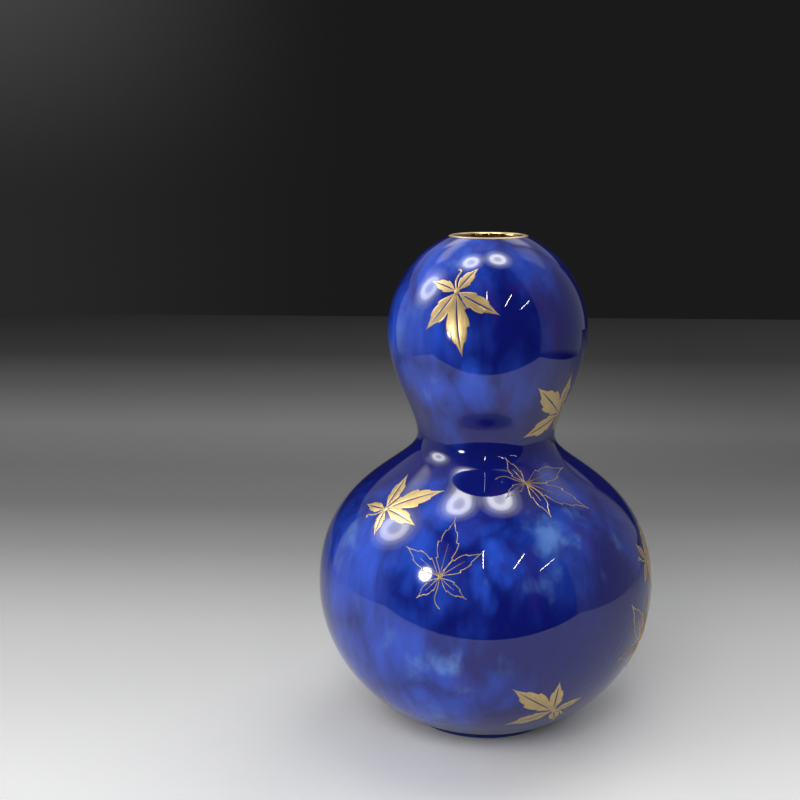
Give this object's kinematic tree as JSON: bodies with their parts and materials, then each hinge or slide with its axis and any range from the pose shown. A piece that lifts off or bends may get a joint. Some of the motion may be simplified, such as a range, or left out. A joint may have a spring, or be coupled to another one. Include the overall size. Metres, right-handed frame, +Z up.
{
  "type": "gourd vase",
  "caption": "Double-gourd porcelain vase with an open mouth, a foot ring, a gilded lip and gilded five-fingered leaves scattered over a cobalt glaze.",
  "frame": {"origin": "centre of the foot ring on the plane that the vase stands on", "axes": "+Z up along the axis of the vase; the side with the leaf on the front of the upper bulb faces -Y, and +X is to the right seen from there"},
  "size_m": [0.1716, 0.1716, 0.25],
  "materials": {
    "cobalt_glaze": "glossy cobalt blue glaze with soft lighter clouds",
    "gold": "satin fired gilding"
  },
  "bodies": {
    "root": {"porcelain_body": "cobalt_glaze", "gilt_rim": "gold", "gilt_leaf_bulb_front": "gold", "gilt_leaf_bulb_right": "gold", "line_leaf_shoulder_front": "gold", "gilt_leaf_shoulder_left": "gold", "line_leaf_belly_front": "gold", "gilt_leaf_belly_low_front": "gold", "gilt_leaf_belly_right": "gold", "line_leaf_belly_low_right": "gold", "gilt_leaf_bulb_back": "gold", "line_leaf_bulb_left": "gold", "gilt_leaf_shoulder_back": "gold", "line_leaf_belly_back": "gold", "gilt_leaf_belly_left": "gold"}
  },
  "joints": []
}
